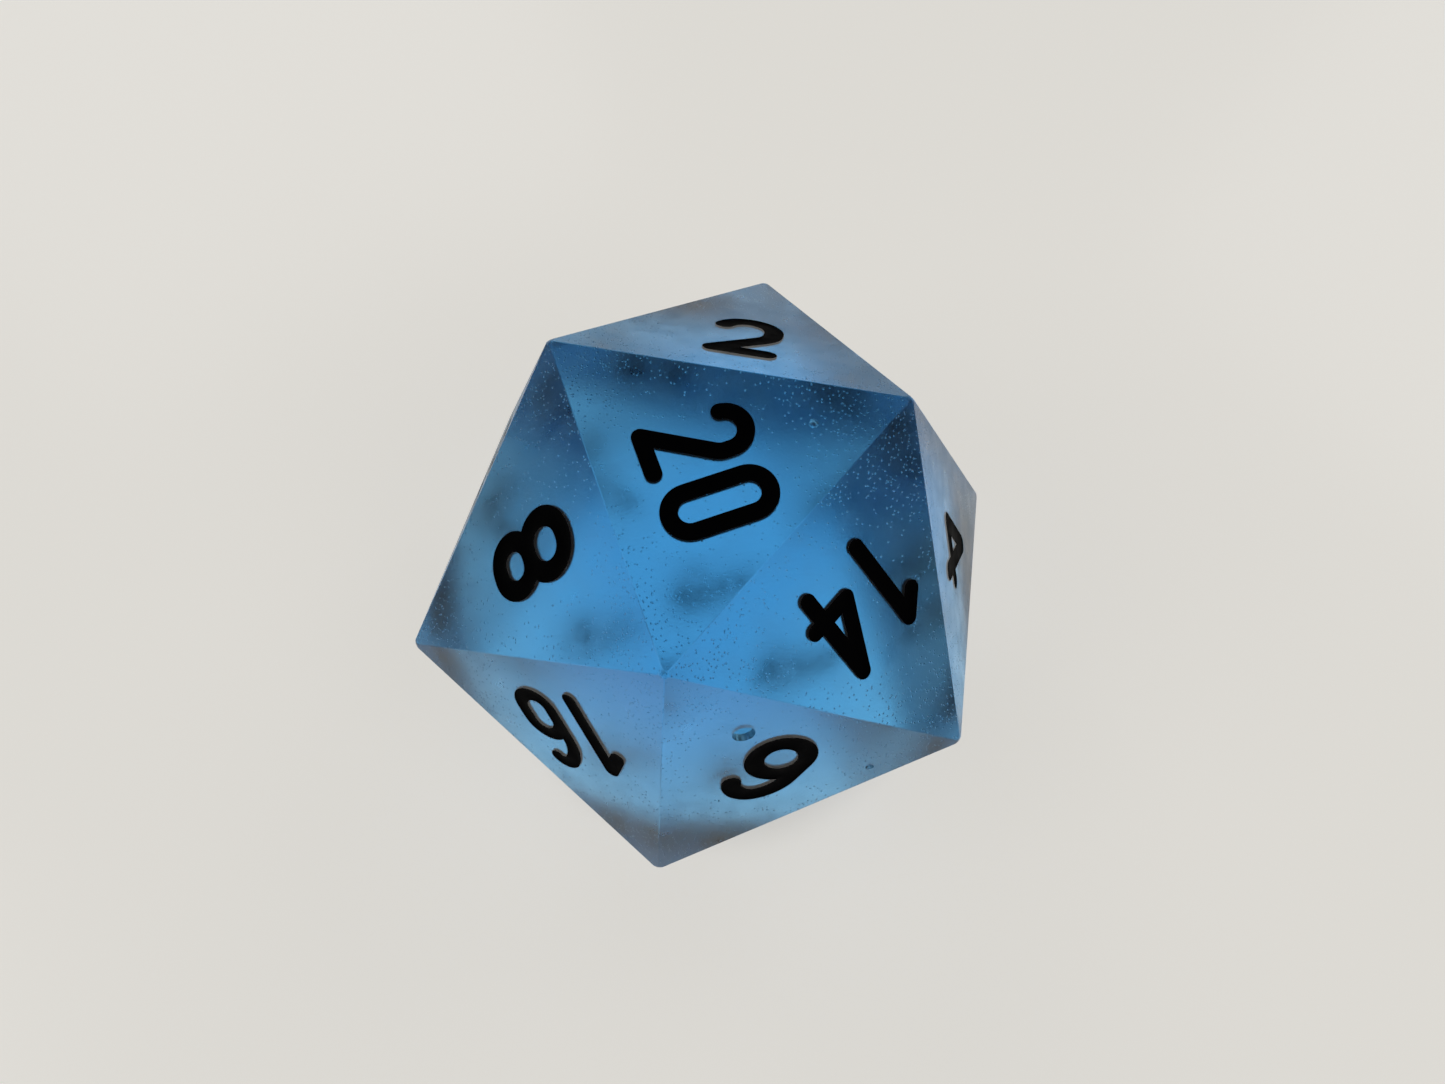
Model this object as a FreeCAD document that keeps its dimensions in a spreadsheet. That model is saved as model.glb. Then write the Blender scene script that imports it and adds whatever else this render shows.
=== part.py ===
"""A 20-sided die: one cast resin body with a painted numeral engraved on every face.

Millimetres, +Z up. The origin is the middle of the bottom face, the one numbered 1, which the
die rests on. The front is towards -Y: the top face, numbered 20, has one corner straight ahead
at the front and one to each side at the back.
"""

import FreeCAD, Part
import math
import os

from FreeCAD import Placement, Rotation, Vector

OUT_DIR = "parts"
DIE_NUMBERS = range(1, 21)

doc = FreeCAD.newDocument("twenty_sided_die")


# ---------------------------------------------------------------- driving dimensions

DIMENSIONS = (
    ("across_faces", 20.0, "between two opposite flat faces"),
    ("edge_round", 0.15, "radius of the hand-sanded edges and corners"),
    ("recess_depth", 0.3, "depth of an engraved numeral"),
    ("paint_drop", 0.05, "how far the dried paint lies below the face"),
    ("tool_rise", 1.0, "how far an engraving tool stands out of its face"),
    ("numeral_height", 4.25, "height of a numeral over its strokes"),
    ("single_width", 2.8, "width of a digit that has a face to itself"),
    ("single_stroke", 0.76, "stroke width of such a digit"),
    ("paired_width", 2.1, "width of a digit that shares a face"),
    ("paired_stroke", 0.62, "stroke width of such a digit"),
    ("digit_gap", 0.42, "clear space between two digits"),
    ("dot_radius", 0.42, "radius of the unpainted dot beside 6 and 9"),
    ("dot_gap", 0.5, "clear space between such a digit and its dot"),
)

sheet = doc.addObject("Spreadsheet::Sheet", "dimensions")
for row, (alias, value, meaning) in enumerate(DIMENSIONS, start=1):
    sheet.set(f"A{row}", meaning)
    sheet.set(f"B{row}", str(value))
    sheet.setAlias(f"B{row}", alias)
doc.recompute()


def size(alias):
    """The value of one driving dimension."""
    return float(sheet.get(alias))


# ---------------------------------------------------------------- corners and faces

# The corners lie in four level rings of three, which turn against each other by 60 degrees.
# These are their places on a die whose faces are all 1 from its middle.
GOLDEN = (1 + math.sqrt(5)) / 2
OUTER_RING = 2 / GOLDEN**2
MIDDLE_RING = 2 / GOLDEN
MIDDLE_HEIGHT = GOLDEN**-3

# corner: heading seen from above, in degrees from +X, then ring radius and height
CORNER_PLACES = {
    "top_front": (-90, OUTER_RING, 1),
    "top_right": (30, OUTER_RING, 1),
    "top_left": (150, OUTER_RING, 1),
    "high_left": (-150, MIDDLE_RING, MIDDLE_HEIGHT),
    "high_right": (-30, MIDDLE_RING, MIDDLE_HEIGHT),
    "high_back": (90, MIDDLE_RING, MIDDLE_HEIGHT),
    "low_front": (-90, MIDDLE_RING, -MIDDLE_HEIGHT),
    "low_right": (30, MIDDLE_RING, -MIDDLE_HEIGHT),
    "low_left": (150, MIDDLE_RING, -MIDDLE_HEIGHT),
}

# number: the face's corners, first the one that the top of the numeral points to. The other ten
# faces are opposite these, and opposite numbers add up to 21.
NUMBERED_CORNERS = {
    20: ("top_right", "top_left", "top_front"),
    2: ("high_back", "top_left", "top_right"),
    8: ("high_left", "top_front", "top_left"),
    14: ("high_right", "top_right", "top_front"),
    16: ("low_front", "high_left", "top_front"),
    6: ("low_front", "top_front", "high_right"),
    4: ("low_right", "high_right", "top_right"),
    18: ("low_right", "top_right", "high_back"),
    12: ("low_left", "high_back", "top_left"),
    10: ("low_left", "top_left", "high_left"),
}


def corner(name):
    """The place of a corner around the middle of the die, with faces 1 from it."""
    heading, radius, height = CORNER_PLACES[name]
    angle = math.radians(heading)
    return Vector(radius * math.cos(angle), radius * math.sin(angle), height)


def face_corners(number):
    """The three corners of a numbered face, first the one its numeral points to."""
    if number in NUMBERED_CORNERS:
        return [corner(name) for name in NUMBERED_CORNERS[number]]
    return [-corner(name) for name in NUMBERED_CORNERS[21 - number]]


def face_normal(number):
    """The outward direction of a numbered face."""
    first, second, third = face_corners(number)
    return (first + second + third).normalize()


def face_placement(number):
    """Puts a flat drawing on a face: its middle at the face's, its top to the numeral's corner."""
    normal = face_normal(number)
    upright = face_corners(number)[0]
    upright = (upright - normal * upright.dot(normal)).normalize()
    turn = Rotation(upright.cross(normal), upright, normal, "ZXY")
    middle = Vector(0, 0, size("across_faces") / 2)
    return Placement(middle + normal * size("across_faces") / 2, turn)


# ---------------------------------------------------------------- resin casting before engraving


def rounded_blank():
    """The plain casting: ten crossing slabs leave a sharp icosahedron, grown by a round edge."""
    slab_length = 3 * size("across_faces")
    middle = Vector(0, 0, size("across_faces") / 2)
    slabs = []
    for number in NUMBERED_CORNERS:
        slab = doc.addObject("Part::Box", f"slab_{number:02d}")
        slab.Length = slab_length
        slab.Width = slab_length
        slab.setExpression("Height", "dimensions.across_faces - 2 * dimensions.edge_round")
        turn = Rotation(Vector(0, 0, 1), face_normal(number))
        thickness = size("across_faces") - 2 * size("edge_round")
        to_corner = Vector(slab_length, slab_length, thickness) / 2
        slab.Placement = Placement(middle - turn.multVec(to_corner), turn)
        slabs.append(slab)
    core = doc.addObject("Part::MultiCommon", "sharp_core")
    core.Shapes = slabs
    blank = doc.addObject("Part::Offset", "rounded_blank")
    blank.Source = core
    blank.Mode = "Skin"
    blank.Join = "Arc"
    blank.setExpression("Value", "dimensions.edge_round")
    return blank


# ---------------------------------------------------------------- pen strokes of the digits

# A digit is drawn around its own middle. reach_x and reach_y are half its width and half its
# height along the middle of its strokes. Strokes are lists of joined lines and arcs, rings are
# closed bowls and stems are single uprights.


def run(*points):
    """Straight lines from point to point, leaving out any that would have no length."""
    corners = [Vector(x, y, 0) for x, y in points]
    pairs = zip(corners, corners[1:])
    return [Part.LineSegment(here, there) for here, there in pairs if not here.isEqual(there, 1e-6)]


def bend(x, y, radius, start, end):
    """An arc around x, y, anticlockwise from start to end, in degrees."""
    circle = Part.Circle(Vector(x, y, 0), Vector(0, 0, 1), radius)
    return [Part.ArcOfCircle(circle, math.radians(start), math.radians(end))]


FOUR_SPREAD = 1.15  # a 4 is this much wider than the other digits
ONE_BEARING = 0.55  # space kept to the right of the stem of a 1, in units of its reach


def stadium(reach_x, low, high):
    """A closed outline between two heights, as round as it can be."""
    radius = min(reach_x, (high - low) / 2)
    side, middle = reach_x - radius, (high + low) / 2
    rise = (high - low) / 2 - radius
    if rise > side:
        top, bottom = middle + rise, middle - rise
        return (
            bend(0, top, radius, 0, 180)
            + run((-radius, top), (-radius, bottom))
            + bend(0, bottom, radius, 180, 360)
            + run((radius, bottom), (radius, top))
        )
    return (
        bend(side, middle, radius, -90, 90)
        + run((side, high), (-side, high))
        + bend(-side, middle, radius, 90, 270)
        + run((-side, low), (side, low))
    )


def zero(reach_x, reach_y):
    """One closed bowl."""
    return {"rings": [(reach_x, -reach_y, reach_y)]}


def one(reach_x, reach_y):
    """A flag at 45 degrees and an upright stem."""
    flag = (-reach_x, reach_y - reach_x)
    return {"strokes": [run(flag, (0, reach_y), (0, -reach_y))]}


def two(reach_x, reach_y):
    """A hook that runs down its right side and then straight to the foot, along its tangent."""
    crown, cheek = reach_y - reach_x, 0.88 * reach_y - reach_x
    foot_x, foot_y = -reach_x, -reach_y
    to_foot = math.atan2(foot_y - cheek, foot_x)
    leave = to_foot + math.acos(reach_x / math.hypot(foot_x, foot_y - cheek))
    leave_at = (reach_x * math.cos(leave), cheek + reach_x * math.sin(leave))
    tip = 180 - math.degrees(math.asin((0.62 * reach_y - crown) / reach_x))
    hook = bend(0, crown, reach_x, 0, tip)
    hook += run((reach_x, crown), (reach_x, cheek)) + bend(0, cheek, reach_x, math.degrees(leave), 0)
    return {"strokes": [hook + run(leave_at, (foot_x, foot_y), (reach_x, foot_y))]}


def three(reach_x, reach_y):
    """Two open bowls that meet at the middle of the digit."""
    radius = min(reach_x, reach_y / 2)
    top, bottom = reach_y - radius, -reach_y + radius
    upper = bend(0, top, radius, 0, 155) + run((radius, top), (radius, radius))
    upper += bend(0, radius, radius, -90, 0)
    lower = bend(0, -radius, radius, 0, 90) + run((radius, -radius), (radius, bottom))
    lower += bend(0, bottom, radius, -155, 0)
    return {"strokes": [upper, lower]}


def four(reach_x, reach_y):
    """A slope and its crossbar in one stroke, and an upright stem."""
    stem, crossbar = 0.5 * reach_x, -0.42 * reach_y
    side = FOUR_SPREAD * reach_x
    slope = run((stem, reach_y), (-side, crossbar), (side, crossbar))
    return {"strokes": [slope], "stems": [(stem, -reach_y, reach_y)]}


def five(reach_x, reach_y):
    """A flag and a short stem above an open bowl."""
    bowl_top = 0.28 * reach_y
    radius = min(reach_x, (bowl_top + reach_y) / 2)
    bottom, shoulder = -reach_y + radius, bowl_top - radius
    bar_end, stem_top = (0.85 * reach_x, reach_y), (-0.85 * reach_x, reach_y)
    flag = run(bar_end, stem_top, (-0.95 * reach_x, 0.1 * reach_y))
    bowl = bend(0, shoulder, radius, 0, 150) + run((radius, shoulder), (radius, bottom))
    bowl += bend(0, bottom, radius, -155, 0)
    return {"strokes": [flag, bowl]}


def six(reach_x, reach_y):
    """A closed bowl with a tall hook that leans over it from the left side."""
    bowl_top = 0.14 * reach_y
    lean, cheek = 50, 0.9 * reach_y
    brow = reach_x * (0.6 if reach_y > 2 * reach_x else 0.88)
    brow_x = cheek - reach_x - (cheek - brow) * math.cos(math.radians(lean))
    shoulder = reach_y - brow - (cheek - brow) * math.sin(math.radians(lean))
    hook = run((-reach_x, (bowl_top - reach_y) / 2), (-reach_x, shoulder))
    hook += bend(cheek - reach_x, shoulder, cheek, 180 - lean, 180)
    hook += bend(brow_x, reach_y - brow, brow, 25, 180 - lean)
    return {"rings": [(reach_x, -reach_y, bowl_top)], "strokes": [hook]}


def seven(reach_x, reach_y):
    """A bar across the top and a slope down to the left."""
    foot = (-0.35 * reach_x, -reach_y)
    return {"strokes": [run((-reach_x, reach_y), (reach_x, reach_y), foot)]}


def eight(reach_x, reach_y):
    """Two closed bowls, the upper one a little smaller."""
    waist = 0.06 * reach_y
    return {"rings": [(0.9 * reach_x, waist, reach_y), (reach_x, -reach_y, waist)]}


def nine(reach_x, reach_y):
    """A 6 turned half a turn."""
    turned = six(reach_x, reach_y)
    turned["half_turn"] = True
    return turned


DIGITS = {
    "0": zero,
    "1": one,
    "2": two,
    "3": three,
    "4": four,
    "5": five,
    "6": six,
    "7": seven,
    "8": eight,
    "9": nine,
}


# ---------------------------------------------------------------- engraving tools and paint

TOOL_LENGTH = "dimensions.recess_depth + dimensions.tool_rise"
FILL_LENGTH = "dimensions.recess_depth - dimensions.paint_drop"

# Each number was cut a little off the middle of its face: how far to its right and up.
OFF_MIDDLE = {
    2: (0.12, 0.05),
    4: (0.1, 0.35),
    6: (-0.3, 0.0),
    7: (0.1, -0.1),
    8: (0.0, 0.2),
    9: (-0.3, 0.05),
    11: (0.1, 0.15),
    13: (-0.1, 0.1),
    14: (-0.25, 0.3),
    16: (0.2, -0.05),
    17: (-0.15, 0.1),
    19: (0.1, 0.1),
    20: (0.18, -0.08),
}


def lettering(number):
    """Which width and stroke a number is drawn with."""
    return "single" if number < 10 else "paired"


def digit_places(number):
    """Each digit of a number and where its middle goes."""
    style = lettering(number)
    stroke = size(f"{style}_stroke")
    reach_x = (size(f"{style}_width") - stroke) / 2
    sides = {"1": (1, ONE_BEARING), "4": (FOUR_SPREAD, FOUR_SPREAD)}
    places = []
    cursor = 0.0
    for digit in str(number):
        left, right = sides.get(digit, (1, 1))
        places.append((digit, cursor + left * reach_x))
        cursor += (left + right) * reach_x + stroke + size("digit_gap")
    width = cursor - stroke - size("digit_gap")
    off_x, off_y = OFF_MIDDLE.get(number, (0, 0))
    return [(digit, x - width / 2 + off_x, off_y) for digit, x in places]


def drawn(name, geometry, placement):
    """A sketch of joined lines and arcs."""
    sketch = doc.addObject("Sketcher::SketchObject", f"{name}_line")
    sketch.addGeometry(geometry)
    sketch.Placement = placement
    return sketch


def band(name, geometry, placement, width):
    """A flat band of the given width: around an open stroke, or outside a closed outline."""
    area = doc.addObject("Part::Offset2D", f"{name}_band")
    area.Source = drawn(name, geometry, placement)
    area.Mode = "Pipe"
    area.Join = "Arc"
    area.setExpression("Value", width)
    return area


def digit_bands(number):
    """The flat bands of all strokes of a number, drawn on the floor of its recess."""
    style = lettering(number)
    stroke = size(f"{style}_stroke")
    reach_x = (size(f"{style}_width") - stroke) / 2
    reach_y = (size("numeral_height") - stroke) / 2
    bands = []
    for index, (digit, x, y) in enumerate(digit_places(number)):
        drawing = DIGITS[digit](reach_x, reach_y)
        turn = Rotation(Vector(0, 0, 1), 180 if drawing.get("half_turn") else 0)
        placement = Placement(Vector(x, y, -size("recess_depth")), turn)
        name = f"number_{number:02d}_{index}"
        for part, (half_width, low, high) in enumerate(drawing.get("rings", [])):
            inner = stadium(half_width - stroke / 2, low + stroke / 2, high - stroke / 2)
            ring = band(f"{name}_ring_{part}", inner, placement, f"dimensions.{style}_stroke")
            ring.Fill = True
            bands.append(ring)
        for part, line in enumerate(drawing.get("strokes", [])):
            half_stroke = f"dimensions.{style}_stroke / 2"
            bands.append(band(f"{name}_stroke_{part}", line, placement, half_stroke))
        for part, (stem_x, low, high) in enumerate(drawing.get("stems", [])):
            outline = stadium(stroke / 2, low - stroke / 2, high + stroke / 2)
            stem_placement = placement * Placement(Vector(stem_x, 0, 0), Rotation())
            bands.append(drawn(f"{name}_stem_{part}", outline, stem_placement))
    return bands


def raise_band(area, name, length):
    """A solid that stands on a flat band."""
    prism = doc.addObject("Part::Extrusion", name)
    prism.Base = area
    prism.DirMode = "Custom"
    prism.Dir = Vector(0, 0, 1)
    prism.Solid = True
    prism.setExpression("LengthFwd", length)
    return prism


def joined(solids, name, placement):
    """One object from the solids of a number, set on its face."""
    if len(solids) == 1:
        whole = doc.addObject("Part::Compound", name)
        whole.Links = solids
    else:
        whole = doc.addObject("Part::MultiFuse", name)
        whole.Shapes = solids
        whole.Refine = True
    whole.Placement = placement
    return whole


def dot_tool(number):
    """The cutter of the dot that tells a 6 from a 9, at the lower right of the digit."""
    reach = size("single_width") / 2 + size("dot_gap") + size("dot_radius")
    _, digit_x, digit_y = digit_places(number)[0]
    base = digit_y + size("dot_radius") - size("numeral_height") / 2
    tool = doc.addObject("Part::Cylinder", f"dot_{number:02d}")
    tool.setExpression("Radius", "dimensions.dot_radius")
    tool.setExpression("Height", TOOL_LENGTH)
    tool.Placement = Placement(Vector(digit_x + reach, base, -size("recess_depth")), Rotation())
    return tool


def engraving_and_paint(number):
    """The tool that cuts a number into its face, and the paint that fills it."""
    placement = face_placement(number)
    tools, fills = [], []
    for area in digit_bands(number):
        tools.append(raise_band(area, f"{area.Name}_tool", TOOL_LENGTH))
        fills.append(raise_band(area, f"{area.Name}_fill", FILL_LENGTH))
    if number in (6, 9):
        tools.append(dot_tool(number))
    tool = joined(tools, f"tool_{number:02d}", placement)
    paint = joined(fills, f"ink_{number:02d}", placement)
    return tool, paint


# ---------------------------------------------------------------- the die

blank = rounded_blank()
tools, paints = zip(*(engraving_and_paint(number) for number in DIE_NUMBERS))

all_tools = doc.addObject("Part::Compound", "all_tools")
all_tools.Links = list(tools)

body = doc.addObject("Part::Cut", "engraved_body")
body.Base = blank
body.Tool = all_tools
body.Label = "die_body"

doc.recompute()


# ---------------------------------------------------------------- checks and files

sub_parts = [body, *paints]
for item in doc.Objects:
    if "Invalid" in item.State or "Error" in item.State:
        raise RuntimeError(f"{item.Name} could not be built: {item.State}")
for item in sub_parts:
    if item.Shape.isNull() or not item.Shape.isValid():
        raise RuntimeError(f"{item.Label} has no valid shape")

os.makedirs(OUT_DIR, exist_ok=True)
for item in sub_parts:
    item.Shape.exportStep(os.path.join(OUT_DIR, f"{item.Label}.step"))
    print(f"{item.Label}: {len(item.Shape.Solids)} solid(s), {item.Shape.Volume:.2f} mm3")
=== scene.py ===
import math

import bmesh
import bpy
from mathutils import Matrix, Vector


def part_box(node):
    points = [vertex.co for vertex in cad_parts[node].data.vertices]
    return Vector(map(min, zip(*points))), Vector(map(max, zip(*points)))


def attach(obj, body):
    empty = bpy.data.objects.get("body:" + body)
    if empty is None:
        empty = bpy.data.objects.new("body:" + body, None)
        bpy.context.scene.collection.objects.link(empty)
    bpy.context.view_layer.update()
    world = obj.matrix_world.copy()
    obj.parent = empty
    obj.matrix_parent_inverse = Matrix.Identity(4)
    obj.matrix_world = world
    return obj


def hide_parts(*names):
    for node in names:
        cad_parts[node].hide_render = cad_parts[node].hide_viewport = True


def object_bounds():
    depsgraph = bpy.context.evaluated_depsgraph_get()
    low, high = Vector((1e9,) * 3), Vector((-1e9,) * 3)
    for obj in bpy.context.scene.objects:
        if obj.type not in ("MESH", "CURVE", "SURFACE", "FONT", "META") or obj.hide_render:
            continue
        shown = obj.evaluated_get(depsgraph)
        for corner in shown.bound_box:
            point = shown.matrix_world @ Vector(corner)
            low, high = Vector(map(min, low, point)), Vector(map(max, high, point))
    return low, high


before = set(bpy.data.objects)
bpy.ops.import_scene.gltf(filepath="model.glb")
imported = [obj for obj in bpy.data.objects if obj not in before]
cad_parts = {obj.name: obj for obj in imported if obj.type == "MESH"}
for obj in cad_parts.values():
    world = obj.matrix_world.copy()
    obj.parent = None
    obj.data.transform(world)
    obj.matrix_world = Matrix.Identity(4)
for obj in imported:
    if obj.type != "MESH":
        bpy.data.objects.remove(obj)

CAD_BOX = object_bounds()

MM = 0.001

# ------------------------------------------------------------------ sizes and places

BOTTOM = CAD_BOX[0].z
ACROSS_FACES = CAD_BOX[1].z - BOTTOM
FACE_DISTANCE = ACROSS_FACES / 2
MIDDLE = Vector((0, 0, BOTTOM + FACE_DISTANCE))

GOLDEN = (1 + math.sqrt(5)) / 2
CORNER_DISTANCE = FACE_DISTANCE * math.sqrt(3 * (GOLDEN + 2)) / GOLDEN**2
EDGE_TURN = math.radians(41.81)  # how far the surface turns from one face to the next

CREASE = math.radians(35)  # a turn above this is an edge of the die, or stays sharp in shading
RECESS_TURN = math.radians(70)  # a turn above this is the rim of a recess
PAINT_CREASE = math.radians(50)  # a turn above this stays sharp on the paint

CORNER_ROUND = 0.35 * MM
EDGE_ROUND = 0.15 * MM
RIM_ROUND = 0.03 * MM
FLATNESS = 0.005 * MM  # how far off a face's plane still counts as on it
TOOL_RISE = 1.0 * MM  # how far an engraving tool stands out of its face

# the paint of the 20, on the top face, gives the depth of a recess and how far down its paint stops
RECESS_DEPTH = CAD_BOX[1].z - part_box("ink_20")[0][2]
PAINT_DROP = CAD_BOX[1].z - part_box("ink_20")[1][2]

NUMERALS = {number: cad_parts[f"ink_{number:02d}"] for number in range(1, 21)}

# for faces that carry more than their number: which way the corner lies that its top points to
TOPS = {6: Vector((0, -1, -1)), 9: Vector((1, 1, 1)), 20: Vector((1, 1, 0))}
DOT_RADIUS = 0.42 * MM
VOID_RADIUS = 0.17 * MM
VOID_DEPTH = VOID_RADIUS / 4  # how far the middle of a bubble lies below the face

# places right of and above a face's middle, of the dots and of the air bubbles that the sanding opened
DOTS = {6: (2.02 * MM, -1.7 * MM), 9: (2.02 * MM, -1.65 * MM)}
VOIDS = {20: (-0.25 * MM, 4.0 * MM), 6: (-4.1 * MM, -1.3 * MM)}

PAINT_BITE = 0.012 * MM  # how far the paint wets into the sanded recess
MENISCUS_CLIMB = PAINT_DROP - 0.01 * MM  # how far the paint climbs the recess wall above its middle
MENISCUS_WIDTH = 0.14 * MM

# widths in millimetres of the surface patterns, because they read coordinates in millimetres
PIT_SPACING = 0.15
SANDING_GRAIN = 0.1
CLOUD_WIDTH = 0.9
FILM_WIDTH = 0.6

FLOOR_HALF = 0.6
FLOOR_GAP = 0.02 * MM  # keeps the floor clear of the resting face
LAMP_DISTANCE = 0.6

# painted light: how strongly the floor glows at each distance from the die's middle, though it is no lamp.
# It is a painted pool of light under the die and a painted shade ring under its overhang, and is even from
# there on.
PAINTED_LIGHT_STOPS = (
    (0 * MM, 1.0),
    (5.5 * MM, 1.0),
    (8 * MM, 0.5),
    (11 * MM, 0.66),
)


# ------------------------------------------------------------------ small tools

def linear(hex_colour):
    """An sRGB hex colour as the linear RGBA that shaders take."""
    parts = [int(hex_colour[i : i + 2], 16) / 255 for i in (1, 3, 5)]
    return (*(c / 12.92 if c <= 0.04045 else ((c + 0.055) / 1.055) ** 2.4 for c in parts), 1)


def node(tree, kind, links=None, **settings):
    """Adds a shader node with its settings, and with values or other nodes' outputs on its inputs."""
    made = tree.nodes.new(kind)
    for name, value in settings.items():
        setattr(made, name, value)
    for socket, value in (links or {}).items():
        if isinstance(value, bpy.types.NodeSocket):
            tree.links.new(value, made.inputs[socket])
        else:
            made.inputs[socket].default_value = value
    return made


def empty_material(name):
    """A material with only an output node, and its node tree."""
    material = bpy.data.materials.new(name)
    material.use_nodes = True
    material.node_tree.nodes.clear()
    output = node(material.node_tree, "ShaderNodeOutputMaterial")
    return material, material.node_tree, output


def placed(name, bm, material=None):
    """A bmesh as a new object at the origin."""
    mesh = bpy.data.meshes.new(name)
    bm.to_mesh(mesh)
    bm.free()
    piece = bpy.data.objects.new(name, mesh)
    bpy.context.scene.collection.objects.link(piece)
    if material:
        mesh.materials.append(material)
    return piece


def merged_copy(cad_object):
    """A CAD node's mesh as a bmesh whose loose triangles are joined up."""
    bm = bmesh.new()
    bm.from_mesh(cad_object.data)
    bmesh.ops.remove_doubles(bm, verts=list(bm.verts), dist=0.001 * MM)
    bm.normal_update()
    return bm


# ------------------------------------------------------------------ camera

CAMERA_AZIMUTH = math.radians(12.37)
CAMERA_ELEVATION = math.radians(68.92)
CAMERA_ROLL = math.radians(-1.96)
CAMERA_PLACE = Vector((0.37, 0.93, 54.44)) * MM  # right, up and back from the die's middle
SENSOR_WIDTH = 36.0
LENS = 32.5


def make_camera():
    turn = Matrix.Rotation(CAMERA_AZIMUTH, 3, "Z")
    turn = turn @ Matrix.Rotation(math.pi / 2 - CAMERA_ELEVATION, 3, "X")
    turn = turn @ Matrix.Rotation(CAMERA_ROLL, 3, "Z")
    data = bpy.data.cameras.new("camera")
    data.sensor_width = SENSOR_WIDTH
    data.lens = LENS
    data.clip_start = 1 * MM
    camera = bpy.data.objects.new("camera", data)
    camera.matrix_world = Matrix.Translation(MIDDLE + turn @ CAMERA_PLACE) @ turn.to_4x4()
    bpy.context.scene.collection.objects.link(camera)
    bpy.context.scene.camera = camera


# ------------------------------------------------------------------ the cast blank

def sharp_blank():
    """A sharp icosahedron on the CAD's place: a face up, and one corner of that face to the front."""
    bm = bmesh.new()
    bmesh.ops.create_icosphere(bm, subdivisions=1, radius=CORNER_DISTANCE)
    bm.faces.ensure_lookup_table()
    bm.normal_update()
    top = bm.faces[0]
    up = top.normal.copy()
    front = top.verts[0].co - up * top.verts[0].co.dot(up)
    front.normalize()
    right = up.cross(front)
    bm.transform(Matrix.Translation(MIDDLE) @ Matrix((right, -front, up)).to_4x4())
    bm.normal_update()
    return bm


def face_frames():
    """The twenty outward normals, and for each face its three corners."""
    bm = sharp_blank()
    frames = [(face.normal.copy(), [corner.co.copy() for corner in face.verts]) for face in bm.faces]
    bm.free()
    return frames


FACES = face_frames()


def face_of(piece):
    """The normal and the corners of the face that a numeral is cut into."""
    low, high = (Vector(corner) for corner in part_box(piece.name))
    outwards = (low + high) / 2 - MIDDLE
    return max(FACES, key=lambda face: face[0].dot(outwards))


def rounded_blank():
    """The blank with its corners and its edges rounded, as the hand-sanded casting has them."""
    bm = sharp_blank()
    bmesh.ops.bevel(
        bm,
        geom=list(bm.verts),
        affect="VERTICES",
        offset=CORNER_ROUND,
        segments=4,
        profile=0.5,
        material=-1,
    )
    sharp = [edge for edge in bm.edges if edge.calc_face_angle(0) > CREASE]
    bmesh.ops.bevel(
        bm,
        geom=sharp,
        affect="EDGES",
        offset=EDGE_ROUND * math.tan(EDGE_TURN / 2),
        segments=3,
        profile=0.5,
        material=-1,
        clamp_overlap=True,
    )
    bmesh.ops.recalc_face_normals(bm, faces=list(bm.faces))
    return bm


def engraving_tool(bm, numeral):
    """Adds a numeral's recess as a solid that stands out of its face."""
    normal, _ = face_of(numeral)
    tool = merged_copy(numeral)
    for vert in tool.verts:
        if (vert.co - MIDDLE).dot(normal) > FACE_DISTANCE - (PAINT_DROP + RECESS_DEPTH) / 2:
            vert.co += normal * TOOL_RISE
    mesh = bpy.data.meshes.new("tool")
    tool.to_mesh(mesh)
    tool.free()
    bm.from_mesh(mesh)
    bpy.data.meshes.remove(mesh)


def on_face(number, across, above):
    """Where a tool goes on a numeral's face: Z out along its normal, Y the way the numeral stands."""
    normal, corners = face_of(NUMERALS[number])
    centre = sum(corners, Vector()) / 3
    top_corner = max(corners, key=lambda corner: (corner - centre).dot(TOPS[number]))
    up = (top_corner - centre).normalized()
    right = up.cross(normal)
    turn = Matrix((right, up, normal)).transposed().to_4x4()
    return Matrix.Translation(centre + right * across + up * above) @ turn


def dot_tool(bm, number):
    """Adds the round tool that cuts the dot by the foot of a 6 or a 9."""
    length = TOOL_RISE + RECESS_DEPTH
    bmesh.ops.create_cone(
        bm,
        cap_ends=True,
        segments=40,
        radius1=DOT_RADIUS,
        radius2=DOT_RADIUS,
        depth=length,
        matrix=on_face(number, *DOTS[number]) @ Matrix.Translation((0, 0, length / 2 - RECESS_DEPTH)),
    )


def void_tool(bm, number):
    """Adds the ball that leaves an opened air bubble in a face."""
    bmesh.ops.create_icosphere(
        bm,
        subdivisions=3,
        radius=VOID_RADIUS,
        matrix=on_face(number, *VOIDS[number]) @ Matrix.Translation((0, 0, -VOID_DEPTH)),
    )


def engraved(blank):
    """The blank's mesh with every numeral, dot and bubble cut out of it."""
    tools = bmesh.new()
    for numeral in NUMERALS.values():
        engraving_tool(tools, numeral)
    for number in DOTS:
        dot_tool(tools, number)
    for number in VOIDS:
        void_tool(tools, number)
    cutter = placed("engraving_tools", tools)
    body = placed("uncut_blank", blank)
    cut = body.modifiers.new("engraving", "BOOLEAN")
    cut.operation = "DIFFERENCE"
    cut.solver = "EXACT"
    cut.object = cutter
    depsgraph = bpy.context.evaluated_depsgraph_get()
    mesh = bpy.data.meshes.new_from_object(body.evaluated_get(depsgraph))
    bm = bmesh.new()
    bm.from_mesh(mesh)
    bpy.data.objects.remove(body)
    bpy.data.objects.remove(cutter)
    bpy.data.meshes.remove(mesh)
    return bm


def lies_on_a_face(face):
    """Whether a mesh face is part of one of the die's twenty flat faces."""
    for normal, corners in FACES:
        if face.normal.dot(normal) > 0.99999:
            return abs((face.calc_center_median() - corners[0]).dot(normal)) < FLATNESS
    return False


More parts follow.
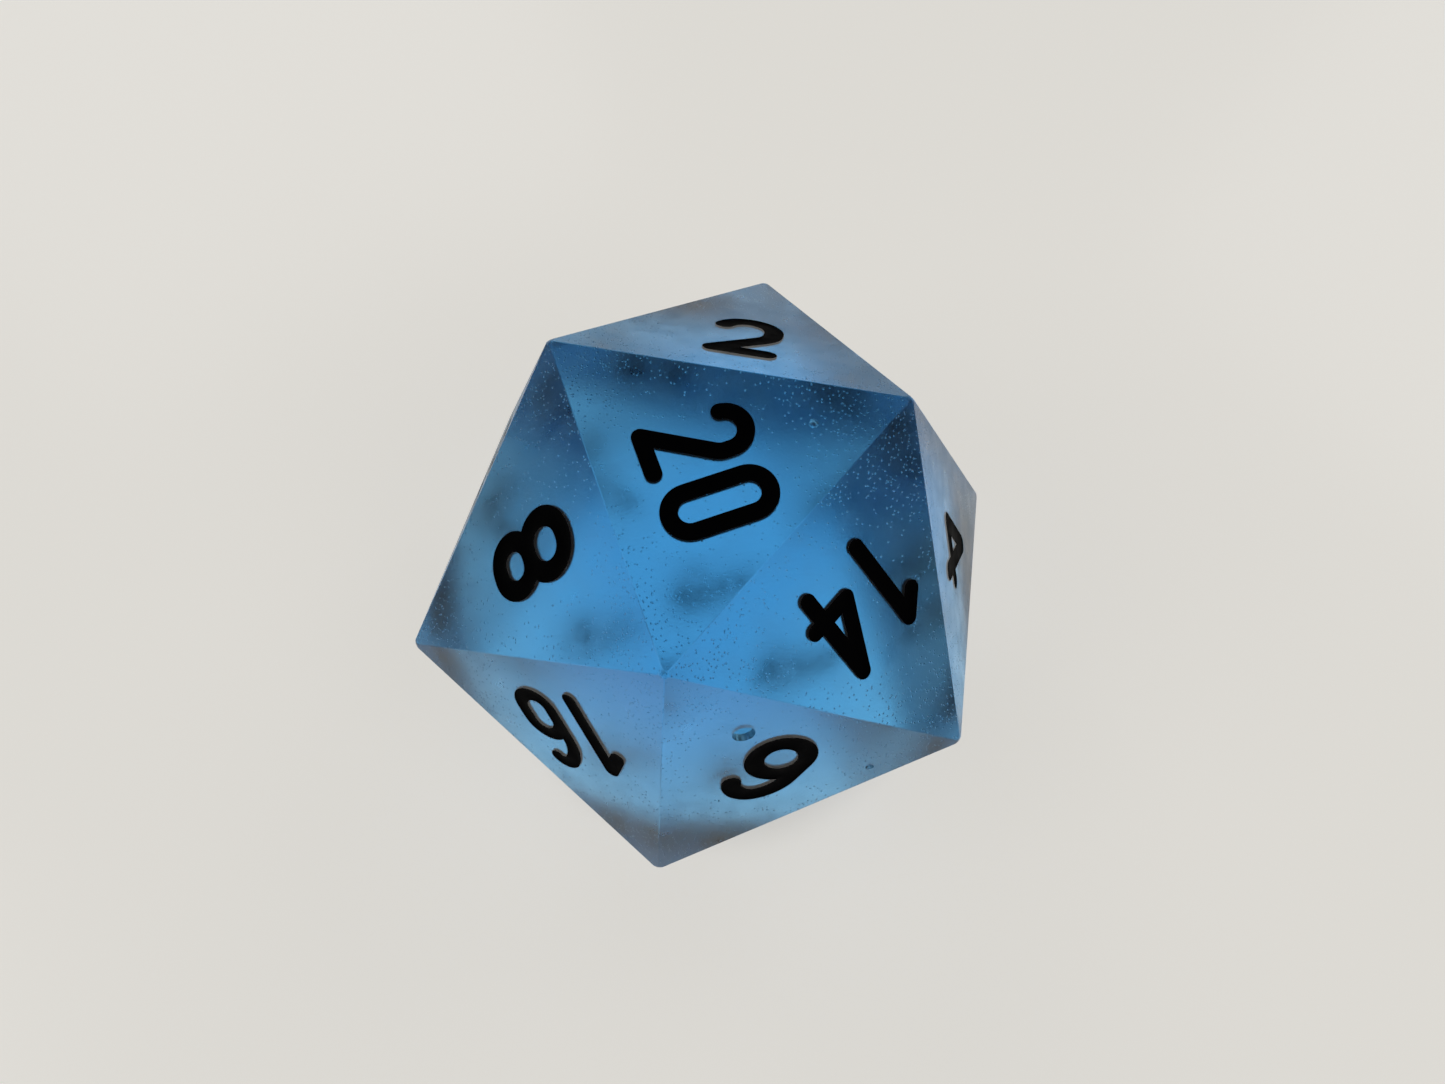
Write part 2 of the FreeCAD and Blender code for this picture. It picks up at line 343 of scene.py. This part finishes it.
def ease_rims(bm):
    """Rounds the rim of each recess a little, as sanding leaves it."""
    bm.normal_update()
    rims = []
    for edge in bm.edges:
        if len(edge.link_faces) == 2 and edge.calc_face_angle(0) > RECESS_TURN:
            if sum(lies_on_a_face(face) for face in edge.link_faces) == 1:
                rims.append(edge)
    bmesh.ops.bevel(
        bm,
        geom=rims,
        affect="EDGES",
        offset=RIM_ROUND,
        segments=2,
        profile=0.5,
        material=-1,
        clamp_overlap=True,
    )


def shade(bm):
    """Flat faces stay flat, round ones are smooth, and creases are sharp."""
    bm.normal_update()
    flats = [normal for normal, _ in FACES]
    for face in bm.faces:
        face.smooth = max(abs(face.normal.dot(normal)) for normal in flats) < 0.9999
    for edge in bm.edges:
        edge.smooth = edge.calc_face_angle(0) < CREASE


def make_body():
    bm = engraved(rounded_blank())
    ease_rims(bm)
    shade(bm)
    body = placed("resin_body", bm, cast_resin())
    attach(body, "root")
    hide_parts("die_body")


# ------------------------------------------------------------------ the paint in the numerals

def make_ink(number, material):
    """One numeral's paint: wetted to its recess and drawn down into a shallow hollow on top."""
    numeral = NUMERALS[number]
    normal, _ = face_of(numeral)
    bm = merged_copy(numeral)
    tops = [face for face in bm.faces if face.normal.dot(normal) > 0.99]
    rim = {vert for face in tops for vert in face.verts}
    for vert in bm.verts:
        grow = vert.normal.copy()
        if vert in rim:
            grow -= normal * grow.dot(normal)
            vert.co += normal * MENISCUS_CLIMB
        vert.co += grow.normalized() * PAINT_BITE
    bmesh.ops.inset_region(
        bm,
        faces=tops,
        thickness=MENISCUS_WIDTH,
        depth=-MENISCUS_CLIMB,
        use_even_offset=True,
        use_boundary=True,
    )
    bm.normal_update()
    for face in bm.faces:
        face.smooth = True
    for edge in bm.edges:
        edge.smooth = edge.calc_face_angle(0) < PAINT_CREASE
    ink = placed(f"paint_{number:02d}", bm, material)
    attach(ink, "root")
    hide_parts(numeral.name)


# ------------------------------------------------------------------ materials

def distance_from_middle(tree):
    """Object coordinates about the die's middle, and how far out a point is, in millimetres."""
    coordinates = node(tree, "ShaderNodeTexCoord")
    centred = node(
        tree,
        "ShaderNodeMapping",
        {
            "Vector": coordinates.outputs["Object"],
            "Location": -MIDDLE / MM,
            "Scale": (1 / MM, 1 / MM, 1 / MM),
        },
    )
    length = node(tree, "ShaderNodeVectorMath", {0: centred.outputs["Vector"]}, operation="LENGTH")
    return centred.outputs["Vector"], length.outputs["Value"]


def cast_resin():
    """Clear epoxy cast with a blue dye, then sanded: satin faces, finely pitted near edges and corners."""
    material, tree, output = empty_material("cast_epoxy_resin_satin_blue")
    place, distance = distance_from_middle(tree)
    worn = node(
        tree,
        "ShaderNodeMapRange",
        {"Value": distance, "From Min": 10.1, "From Max": 11.4, "To Min": 0.15, "To Max": 1.0},
        interpolation_type="SMOOTHSTEP",
    )
    pits = node(tree, "ShaderNodeTexVoronoi", {"Vector": place, "Scale": 1 / PIT_SPACING}, feature="F1")
    pit_shape = node(
        tree,
        "ShaderNodeMapRange",
        {"Value": pits.outputs["Distance"], "From Min": 0.05, "From Max": 0.28},
        interpolation_type="SMOOTHSTEP",
    )
    chance = node(tree, "ShaderNodeSeparateColor", {"Color": pits.outputs["Color"]})
    no_pit = node(
        tree,
        "ShaderNodeMath",
        {0: chance.outputs["Red"], 1: worn.outputs["Result"]},
        operation="GREATER_THAN",
    )
    pitted = node(
        tree,
        "ShaderNodeMath",
        {0: pit_shape.outputs["Result"], 1: no_pit.outputs["Value"]},
        operation="MAXIMUM",
    )
    pit_bump = node(
        tree,
        "ShaderNodeBump",
        {"Height": pitted.outputs["Value"], "Strength": 1.0, "Distance": 0.06 * MM},
    )
    haze = node(tree, "ShaderNodeTexNoise", {"Vector": place, "Scale": 1 / SANDING_GRAIN, "Detail": 1.0})
    surface = node(
        tree,
        "ShaderNodeBump",
        {
            "Height": haze.outputs["Fac"],
            "Strength": 0.3,
            "Distance": 0.012 * MM,
            "Normal": pit_bump.outputs["Normal"],
        },
    )
    cloud = node(tree, "ShaderNodeTexNoise", {"Vector": place, "Scale": 1 / CLOUD_WIDTH, "Detail": 5.0})
    roughness = node(
        tree,
        "ShaderNodeMapRange",
        {"Value": cloud.outputs["Fac"], "From Min": 0.3, "From Max": 0.7, "To Min": 0.27, "To Max": 0.42},
    )
    shader = node(
        tree,
        "ShaderNodeBsdfPrincipled",
        {
            "Base Color": (1, 1, 1, 1),
            "Transmission Weight": 1.0,
            "Roughness": roughness.outputs["Result"],
            "IOR": 1.5,
            "Normal": surface.outputs["Normal"],
        },
    )
    dye = node(tree, "ShaderNodeVolumeAbsorption", {"Color": linear("#49D3F5"), "Density": 150.0})
    tree.links.new(shader.outputs["BSDF"], output.inputs["Surface"])
    tree.links.new(dye.outputs["Volume"], output.inputs["Volume"])
    return material


def black_paint():
    """Black acrylic paint, brushed in and wiped off: dense, with a soft, uneven film on top."""
    material, tree, output = empty_material("black_acrylic_paint")
    place, _ = distance_from_middle(tree)
    film = node(tree, "ShaderNodeTexNoise", {"Vector": place, "Scale": 1 / FILM_WIDTH, "Detail": 3.0})
    roughness = node(
        tree,
        "ShaderNodeMapRange",
        {"Value": film.outputs["Fac"], "From Min": 0.3, "From Max": 0.7, "To Min": 0.5, "To Max": 0.7},
    )
    colour = node(
        tree,
        "ShaderNodeMix",
        {"Factor": film.outputs["Fac"], "A": linear("#040405"), "B": linear("#0A0A0D")},
        data_type="RGBA",
    )
    bump = node(
        tree,
        "ShaderNodeBump",
        {"Height": film.outputs["Fac"], "Strength": 0.3, "Distance": 0.03 * MM},
    )
    shader = node(
        tree,
        "ShaderNodeBsdfPrincipled",
        {
            "Base Color": colour.outputs["Result"],
            "Roughness": roughness.outputs["Result"],
            "Specular IOR Level": 0.01,
            "IOR": 1.5,
            "Normal": bump.outputs["Normal"],
        },
    )
    tree.links.new(shader.outputs["BSDF"], output.inputs["Surface"])
    return material


def table_top():
    """A pale glossy laminate with faint smears, and painted light: it glows, though it is no lamp, with a
    painted pool of light under the die and a painted shade ring under its overhang.
    """
    material, tree, output = empty_material("pale_gloss_laminate_painted_light")
    coordinates = node(tree, "ShaderNodeTexCoord")
    smears = node(
        tree,
        "ShaderNodeTexNoise",
        {"Vector": coordinates.outputs["Object"], "Scale": 14.0, "Detail": 3.0},
    )
    colour = node(
        tree,
        "ShaderNodeMix",
        {"Factor": smears.outputs["Fac"], "A": linear("#D8D6D1"), "B": linear("#DEDBD5")},
        data_type="RGBA",
    )
    roughness = node(
        tree,
        "ShaderNodeMapRange",
        {"Value": smears.outputs["Fac"], "From Min": 0.3, "From Max": 0.7, "To Min": 0.16, "To Max": 0.24},
    )
    far = node(tree, "ShaderNodeVectorMath", {0: coordinates.outputs["Object"]}, operation="LENGTH")
    reach = node(
        tree,
        "ShaderNodeMath",
        {0: far.outputs["Value"], 1: PAINTED_LIGHT_STOPS[-1][0]},
        operation="DIVIDE",
    )
    # painted light: emission by distance from the die, a painted pool of light under it and a painted
    # shade ring under its overhang
    painted_glow = node(tree, "ShaderNodeValToRGB", {"Fac": reach.outputs["Value"]})
    painted_glow.color_ramp.interpolation = "EASE"
    while len(painted_glow.color_ramp.elements) < len(PAINTED_LIGHT_STOPS):
        painted_glow.color_ramp.elements.new(0.5)
    for stop, (radius, level) in zip(painted_glow.color_ramp.elements, PAINTED_LIGHT_STOPS):
        stop.position = radius / PAINTED_LIGHT_STOPS[-1][0]
        stop.color = (level, level, level, 1)
    shader = node(
        tree,
        "ShaderNodeBsdfPrincipled",
        {
            "Base Color": colour.outputs["Result"],
            "Roughness": roughness.outputs["Result"],
            # painted light: the colour and strength of the floor's painted glow
            "Emission Color": linear("#F4F1EA"),
            "Emission Strength": painted_glow.outputs["Color"],
        },
    )
    tree.links.new(shader.outputs["BSDF"], output.inputs["Surface"])
    return material


# ------------------------------------------------------------------ stage

def make_floor():
    bm = bmesh.new()
    bmesh.ops.create_grid(bm, x_segments=1, y_segments=1, size=FLOOR_HALF)
    bmesh.ops.translate(bm, verts=list(bm.verts), vec=(0, 0, BOTTOM - FLOOR_GAP))
    placed("floor", bm, table_top())


def make_world():
    world = bpy.data.worlds.new("room")
    bpy.context.scene.world = world
    world.use_nodes = True
    background = world.node_tree.nodes["Background"]
    background.inputs["Color"].default_value = linear("#C9CCD2")
    background.inputs["Strength"].default_value = 0.045


def softbox(name, azimuth, elevation, size, power):
    """A square area light that faces the die: angles in degrees, size in metres, power in watts."""
    light = bpy.data.lights.new(name, "AREA")
    light.size = size
    light.energy = power
    lamp = bpy.data.objects.new(name, light)
    turn, rise = math.radians(azimuth), math.radians(elevation)
    level = math.cos(rise)
    towards = Vector((math.sin(turn) * level, -math.cos(turn) * level, math.sin(rise)))
    lamp.location = MIDDLE + towards * LAMP_DISTANCE
    lamp.rotation_mode = "QUATERNION"
    lamp.rotation_quaternion = towards.to_track_quat("Z", "Y")
    bpy.context.scene.collection.objects.link(lamp)


def make_lights():
    softbox("front_left", -60, 45, 0.35, 0.25)
    softbox("front_right", 60, 45, 0.35, 0.25)
    softbox("back_left", -140, 38, 0.3, 0.2)
    softbox("back_right", 140, 38, 0.3, 0.2)


# ------------------------------------------------------------------ making it

make_camera()
make_body()
paint = black_paint()
for number in NUMERALS:
    make_ink(number, paint)
make_floor()
make_world()
make_lights()
bpy.context.scene.view_settings.view_transform = "Standard"
